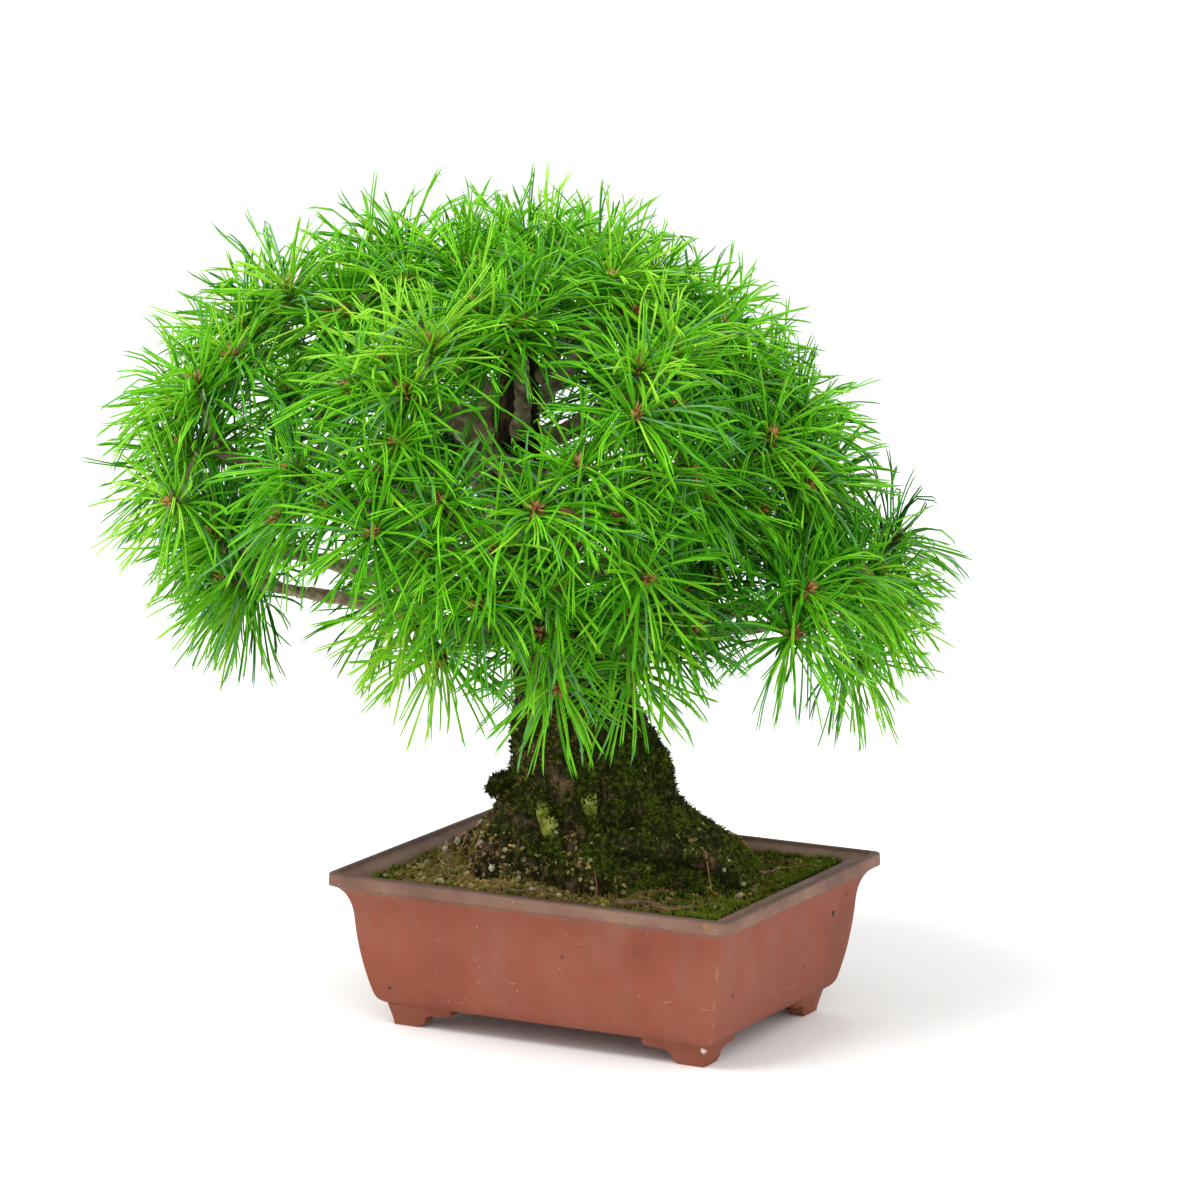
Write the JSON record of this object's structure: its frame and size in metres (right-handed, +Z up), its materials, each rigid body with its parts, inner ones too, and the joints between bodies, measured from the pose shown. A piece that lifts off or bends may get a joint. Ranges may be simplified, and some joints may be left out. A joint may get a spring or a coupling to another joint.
{
  "type": "potted japanese white pine bonsai",
  "caption": "Broad-crowned japanese white pine bonsai with a flared leaning trunk, spreading boughs and sprays of long needles, in a rectangular unglazed clay pot on bracket feet.",
  "frame": {"origin": "on the ground under the middle of the whole plant's box", "axes": "+X along the pot's long side, to the right of someone who faces its front; +Y from the front to the back; +Z up"},
  "size_m": [0.5041, 0.4801, 0.5146],
  "materials": {
    "pot_clay": "unglazed red-brown stoneware, matt, a little weathered at the rim",
    "soil_moss": "damp soil under moss, with pale grit and dead needles",
    "trunk_bark": "rough plated bark, mossy round the root flare",
    "bough_bark": "grey-brown ringed bark",
    "pine_needles": "bright satin green needles"
  },
  "bodies": {
    "root": {"pot": "pot_clay", "soil": "soil_moss", "trunk": "trunk_bark", "bough_top_left": "bough_bark", "bough_top_right": "bough_bark", "bough_top_front": "bough_bark", "bough_upper_front_left": "bough_bark", "bough_upper_front_right": "bough_bark", "bough_upper_right": "bough_bark", "bough_upper_back_right": "bough_bark", "bough_upper_back_left": "bough_bark", "bough_upper_left": "bough_bark", "bough_middle_front": "bough_bark", "bough_middle_front_right": "bough_bark", "bough_middle_front_left": "bough_bark", "bough_middle_far_left": "bough_bark", "bough_middle_left": "bough_bark", "bough_middle_back_left": "bough_bark", "bough_middle_back": "bough_bark", "bough_middle_back_right": "bough_bark", "bough_middle_right": "bough_bark", "bough_middle_inner_right": "bough_bark", "bough_lower_front": "bough_bark", "bough_lower_front_right": "bough_bark", "bough_lower_front_left": "bough_bark", "bough_lower_left": "bough_bark", "bough_lower_far_left": "bough_bark", "bough_lower_back_left": "bough_bark", "bough_lower_back": "bough_bark", "bough_lower_far_right": "bough_bark", "bough_lower_right": "bough_bark", "needles_top": "pine_needles", "needles_top_left": "pine_needles", "needles_top_right": "pine_needles", "needles_top_front": "pine_needles", "needles_upper_front_left": "pine_needles", "needles_upper_front_right": "pine_needles", "needles_upper_right": "pine_needles", "needles_upper_back_right": "pine_needles", "needles_upper_back_left": "pine_needles", "needles_upper_left": "pine_needles", "needles_middle_front": "pine_needles", "needles_middle_front_right": "pine_needles", "needles_middle_front_left": "pine_needles", "needles_middle_far_left": "pine_needles", "needles_middle_left": "pine_needles", "needles_middle_back_left": "pine_needles", "needles_middle_back": "pine_needles", "needles_middle_back_right": "pine_needles", "needles_middle_right": "pine_needles", "needles_middle_inner_right": "pine_needles", "needles_lower_front": "pine_needles", "needles_lower_front_right": "pine_needles", "needles_lower_front_left": "pine_needles", "needles_lower_left": "pine_needles", "needles_lower_far_left": "pine_needles", "needles_lower_back_left": "pine_needles", "needles_lower_back": "pine_needles", "needles_lower_far_right": "pine_needles", "needles_lower_right": "pine_needles"}
  },
  "joints": []
}
